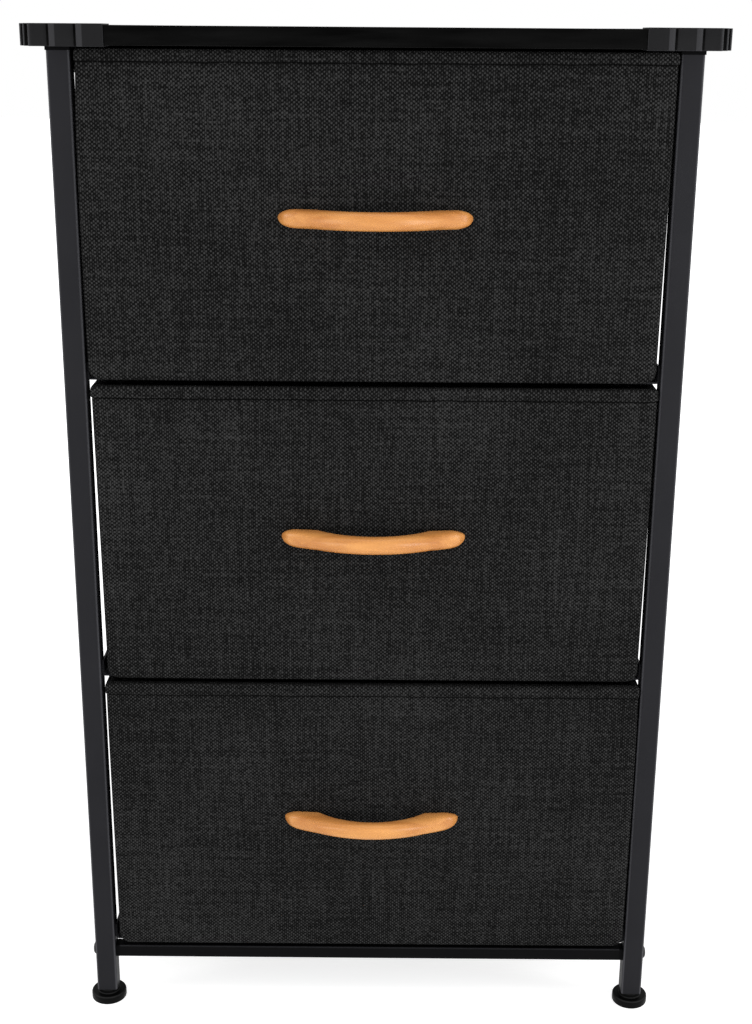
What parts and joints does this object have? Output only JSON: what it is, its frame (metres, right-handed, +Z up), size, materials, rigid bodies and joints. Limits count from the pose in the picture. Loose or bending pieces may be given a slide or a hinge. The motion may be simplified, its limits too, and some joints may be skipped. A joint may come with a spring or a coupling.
{
  "type": "fabric drawer dresser",
  "caption": "Narrow dresser with a black steel tube frame, capped board top and fabric drawers that slide out by arched wooden pulls.",
  "frame": {"origin": "on the floor, under the middle of the bounding box with the drawers shut", "axes": "+Z up, +X to the right as seen from the front, +Y from the drawer fronts to the back"},
  "size_m": [0.46, 0.315, 0.711],
  "materials": {
    "frame_steel": "satin black powder coat",
    "top_laminate": "black laminated board",
    "cap_plastic": "dark grey moulded plastic",
    "plug_plastic": "black moulded plastic",
    "foot_plastic": "black moulded plastic",
    "bolt_steel": "black oxide",
    "screw_steel": "zinc plated",
    "drawer_linen": "charcoal two-tone linen weave",
    "drawer_lining": "black bonded lining",
    "drawer_board": "bare fibre board",
    "pull_wood": "clear lacquered, warm tan"
  },
  "bodies": {
    "frame": {"leg_front_left": "frame_steel", "leg_front_right": "frame_steel", "leg_rear_left": "frame_steel", "leg_rear_right": "frame_steel", "leg_top_plugs": "plug_plastic", "leg_foot_inserts": "plug_plastic", "lower_rail_left": "frame_steel", "lower_rail_right": "frame_steel", "middle_rail_left": "frame_steel", "middle_rail_right": "frame_steel", "upper_rail_left": "frame_steel", "upper_rail_right": "frame_steel", "top_rail_left": "frame_steel", "top_rail_right": "frame_steel", "front_crossbar": "frame_steel", "rear_crossbar_lower": "frame_steel", "rear_crossbar_middle": "frame_steel", "rear_crossbar_upper": "frame_steel", "crossbar_end_plugs": "plug_plastic", "frame_bolts": "bolt_steel", "top_board": "top_laminate", "corner_cap_front_left": "cap_plastic", "corner_cap_front_right": "cap_plastic", "corner_cap_rear_left": "cap_plastic", "corner_cap_rear_right": "cap_plastic", "top_screws": "screw_steel"},
    "lower_drawer": {"lower_drawer_cover": "drawer_linen", "lower_drawer_lining": "drawer_lining", "lower_drawer_front_board": "drawer_board", "lower_drawer_back_board": "drawer_board", "lower_drawer_side_boards": "drawer_board", "lower_drawer_base_board": "drawer_board", "lower_drawer_handle": "pull_wood", "lower_drawer_handle_screws": "screw_steel"},
    "middle_drawer": {"middle_drawer_cover": "drawer_linen", "middle_drawer_lining": "drawer_lining", "middle_drawer_front_board": "drawer_board", "middle_drawer_back_board": "drawer_board", "middle_drawer_side_boards": "drawer_board", "middle_drawer_base_board": "drawer_board", "middle_drawer_handle": "pull_wood", "middle_drawer_handle_screws": "screw_steel"},
    "upper_drawer": {"upper_drawer_cover": "drawer_linen", "upper_drawer_lining": "drawer_lining", "upper_drawer_front_board": "drawer_board", "upper_drawer_back_board": "drawer_board", "upper_drawer_side_boards": "drawer_board", "upper_drawer_base_board": "drawer_board", "upper_drawer_handle": "pull_wood", "upper_drawer_handle_screws": "screw_steel"},
    "foot_front_left": {"foot_front_left": "foot_plastic", "stud_front_left": "screw_steel"},
    "foot_front_right": {"foot_front_right": "foot_plastic", "stud_front_right": "screw_steel"},
    "foot_rear_left": {"foot_rear_left": "foot_plastic", "stud_rear_left": "screw_steel"},
    "foot_rear_right": {"foot_rear_right": "foot_plastic", "stud_rear_right": "screw_steel"}
  },
  "joints": [
    {"name": "lower_drawer_slide", "type": "slide", "parent": "frame", "child": "lower_drawer", "axis": [0, -1, 0], "range_m": [0, 0.2]},
    {"name": "middle_drawer_slide", "type": "slide", "parent": "frame", "child": "middle_drawer", "axis": [0, -1, 0], "range_m": [0, 0.2]},
    {"name": "upper_drawer_slide", "type": "slide", "parent": "frame", "child": "upper_drawer", "axis": [0, -1, 0], "range_m": [0, 0.2]},
    {"name": "foot_front_left_turn", "type": "hinge", "parent": "frame", "child": "foot_front_left", "pos_m": [-0.1995, -0.121, 0], "axis": [0, 0, 1], "continuous": true},
    {"name": "foot_front_right_turn", "type": "hinge", "parent": "frame", "child": "foot_front_right", "pos_m": [0.1995, -0.121, 0], "axis": [0, 0, 1], "continuous": true},
    {"name": "foot_rear_left_turn", "type": "hinge", "parent": "frame", "child": "foot_rear_left", "pos_m": [-0.1995, 0.136, 0], "axis": [0, 0, 1], "continuous": true},
    {"name": "foot_rear_right_turn", "type": "hinge", "parent": "frame", "child": "foot_rear_right", "pos_m": [0.1995, 0.136, 0], "axis": [0, 0, 1], "continuous": true}
  ]
}
